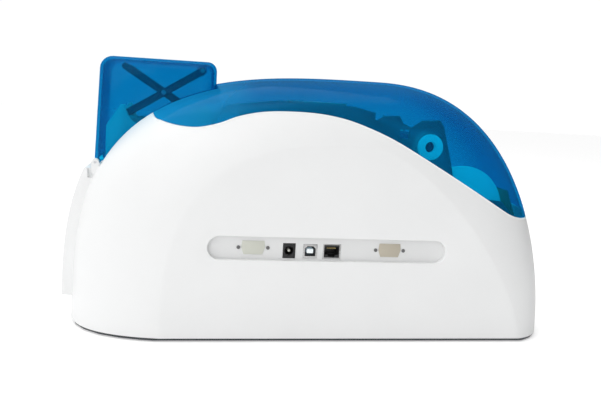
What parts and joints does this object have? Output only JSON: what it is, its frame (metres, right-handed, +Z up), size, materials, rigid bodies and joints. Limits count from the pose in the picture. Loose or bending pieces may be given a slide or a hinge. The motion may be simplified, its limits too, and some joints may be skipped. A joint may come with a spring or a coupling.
{
  "type": "id card printer",
  "caption": "Domed desktop card printer with a clear hinged lid, a clear hinged card hopper with a scissor presser, and a film print mechanism inside.",
  "frame": {"origin": "centre of the bounding box on the table, under the feet", "axes": "+X along the printer towards the lid hinge, the card hopper at -X, the port side faces -Y, +Z up"},
  "size_m": [0.4478, 0.196, 0.235],
  "materials": {
    "white_plastic": "satin",
    "clear_blue": "polished",
    "steel": "brushed",
    "dark_plastic": "matte",
    "navy_plastic": "satin",
    "grey_plastic": "matte",
    "black_rubber": "matte",
    "blue_rubber": "matte",
    "ivory_plastic": "satin",
    "film_blue": "satin",
    "film_dark": "gloss",
    "brass": "machined",
    "head_metal": "anodised",
    "board_green": "satin",
    "black_plastic": "satin",
    "port_metal": "plated",
    "blank_green": "satin",
    "blank_beige": "satin",
    "panel_dark": "satin",
    "window": "gloss",
    "button_green": "satin",
    "button_grey": "satin"
  },
  "bodies": {
    "housing": {"rear_housing": "white_plastic", "front_housing": "white_plastic", "end_panel": "white_plastic", "base_pan": "dark_plastic", "rubber_feet": "black_rubber", "housing_screws": "steel", "lid_hinge_pin": "steel", "hopper_hinge_pins": "steel", "card_magazine": "grey_plastic", "chassis_rear_plate": "steel", "chassis_front_plate": "steel", "chassis_ties": "steel", "card_deck": "grey_plastic", "feed_belt": "black_rubber", "pick_belt": "black_rubber", "feed_motor": "dark_plastic", "ribbon_motor": "dark_plastic", "head_pivot_shaft": "steel", "head_springs": "steel", "ribbon_web": "film_blue", "main_board": "board_green", "board_spacers": "brass", "dc_jack": "black_plastic", "usb_port": "port_metal", "lan_port": "port_metal", "left_port_blank": "blank_green", "right_port_blank": "blank_beige", "port_screws": "steel", "sensor_board": "board_green", "control_panel": "panel_dark", "panel_window": "window"},
    "lid": {"lid": "clear_blue"},
    "hopper_cover": {"hopper_cover": "clear_blue"},
    "presser_outer": {"presser_outer_arm": "navy_plastic", "presser_pins": "steel"},
    "presser_inner": {"presser_inner_arm": "navy_plastic"},
    "presser_plate": {"presser_plate": "grey_plastic"},
    "pick_roller": {"pick_roller": "black_rubber", "pick_pulley": "ivory_plastic"},
    "cleaning_roller": {"cleaning_roller": "blue_rubber"},
    "entry_roller": {"entry_roller": "black_rubber", "entry_pulleys": "ivory_plastic"},
    "entry_pinch": {"entry_pinch_roller": "grey_plastic"},
    "platen": {"platen_roller": "black_rubber", "platen_pulley": "ivory_plastic", "drive_gear": "ivory_plastic"},
    "exit_roller": {"exit_roller": "black_rubber", "exit_pulley": "ivory_plastic"},
    "exit_pinch": {"exit_pinch_roller": "grey_plastic"},
    "feed_pinion": {"feed_pinion": "brass"},
    "print_head": {"head_arm": "grey_plastic", "print_head": "head_metal"},
    "supply_spool": {"supply_flanges": "ivory_plastic", "supply_roll": "film_blue"},
    "takeup_spool": {"takeup_core": "ivory_plastic", "takeup_roll": "film_dark", "takeup_gear": "ivory_plastic"},
    "ribbon_pinion": {"ribbon_pinion": "brass"},
    "power_button": {"power_button": "button_green"},
    "feed_button": {"feed_button": "button_grey"}
  },
  "joints": [
    {"name": "lid_hinge", "type": "hinge", "parent": "housing", "child": "lid", "pos_m": [0.2038, 0, 0.11], "axis": [0, 1, 0], "range_deg": [0, 75]},
    {"name": "hopper_cover_hinge", "type": "hinge", "parent": "housing", "child": "hopper_cover", "pos_m": [-0.1964, 0, 0.1435], "axis": [0, 1, 0], "range_deg": [-75, 0]},
    {"name": "presser_arm_swing", "type": "hinge", "parent": "hopper_cover", "child": "presser_outer", "pos_m": [-0.107, 0, 0.2275], "axis": [0, 1, 0], "range_deg": [0, 12]},
    {"name": "presser_cross_swing", "type": "hinge", "parent": "presser_outer", "child": "presser_inner", "pos_m": [-0.1405, 0, 0.20657], "axis": [0, 1, 0], "range_deg": [-24, 0]},
    {"name": "presser_plate_swing", "type": "hinge", "parent": "presser_outer", "child": "presser_plate", "pos_m": [-0.174, 0, 0.18564], "axis": [0, 1, 0], "range_deg": [-12, 0]},
    {"name": "platen_spin", "type": "hinge", "parent": "housing", "child": "platen", "pos_m": [0.03, 0, 0.102], "axis": [0, 1, 0], "continuous": true},
    {"name": "entry_spin", "type": "hinge", "parent": "housing", "child": "entry_roller", "pos_m": [-0.05, 0, 0.102], "axis": [0, 1, 0], "continuous": true},
    {"name": "exit_spin", "type": "hinge", "parent": "housing", "child": "exit_roller", "pos_m": [0.075, 0, 0.102], "axis": [0, 1, 0], "continuous": true},
    {"name": "pick_spin", "type": "hinge", "parent": "housing", "child": "pick_roller", "pos_m": [-0.15, 0, 0.102], "axis": [0, 1, 0], "continuous": true},
    {"name": "entry_pinch_spin", "type": "hinge", "parent": "housing", "child": "entry_pinch", "pos_m": [-0.05, 0, 0.1173], "axis": [0, 1, 0], "continuous": true},
    {"name": "exit_pinch_spin", "type": "hinge", "parent": "housing", "child": "exit_pinch", "pos_m": [0.075, 0, 0.1173], "axis": [0, 1, 0], "continuous": true},
    {"name": "cleaning_spin", "type": "hinge", "parent": "housing", "child": "cleaning_roller", "pos_m": [-0.08, 0, 0.1209], "axis": [0, 1, 0], "continuous": true},
    {"name": "feed_pinion_spin", "type": "hinge", "parent": "housing", "child": "feed_pinion", "pos_m": [0.01457, 0, 0.08361], "axis": [0, 1, 0], "continuous": true},
    {"name": "head_lift", "type": "hinge", "parent": "housing", "child": "print_head", "pos_m": [-0.015, 0, 0.15], "axis": [0, 1, 0], "range_deg": [-6, 0], "deforming": ["head_springs"]},
    {"name": "supply_spin", "type": "hinge", "parent": "housing", "child": "supply_spool", "pos_m": [0.139, 0, 0.1142], "axis": [0, 1, 0], "continuous": true},
    {"name": "takeup_spin", "type": "hinge", "parent": "housing", "child": "takeup_spool", "pos_m": [0.098, 0, 0.1717], "axis": [0, 1, 0], "continuous": true},
    {"name": "ribbon_pinion_spin", "type": "hinge", "parent": "housing", "child": "ribbon_pinion", "pos_m": [0.07722, 0, 0.1597], "axis": [0, 1, 0], "continuous": true},
    {"name": "power_button_press", "type": "slide", "parent": "housing", "child": "power_button", "axis": [0, -1, 0], "range_m": [0, 0.0012], "stiffness_N_per_m": 400},
    {"name": "feed_button_press", "type": "slide", "parent": "housing", "child": "feed_button", "axis": [0, -1, 0], "range_m": [0, 0.0012], "stiffness_N_per_m": 400}
  ],
  "couplings": [
    {"joint": "presser_cross_swing", "follows": "presser_arm_swing", "ratio": -2},
    {"joint": "presser_plate_swing", "follows": "presser_arm_swing", "ratio": -1},
    {"joint": "entry_spin", "follows": "platen_spin", "ratio": 1},
    {"joint": "exit_spin", "follows": "platen_spin", "ratio": 1},
    {"joint": "pick_spin", "follows": "platen_spin", "ratio": 1},
    {"joint": "entry_pinch_spin", "follows": "platen_spin", "ratio": -1.5},
    {"joint": "exit_pinch_spin", "follows": "platen_spin", "ratio": -1.5},
    {"joint": "feed_pinion_spin", "follows": "platen_spin", "ratio": -3},
    {"joint": "takeup_spin", "follows": "supply_spin", "ratio": -3.5377},
    {"joint": "ribbon_pinion_spin", "follows": "supply_spin", "ratio": 10.613}
  ]
}
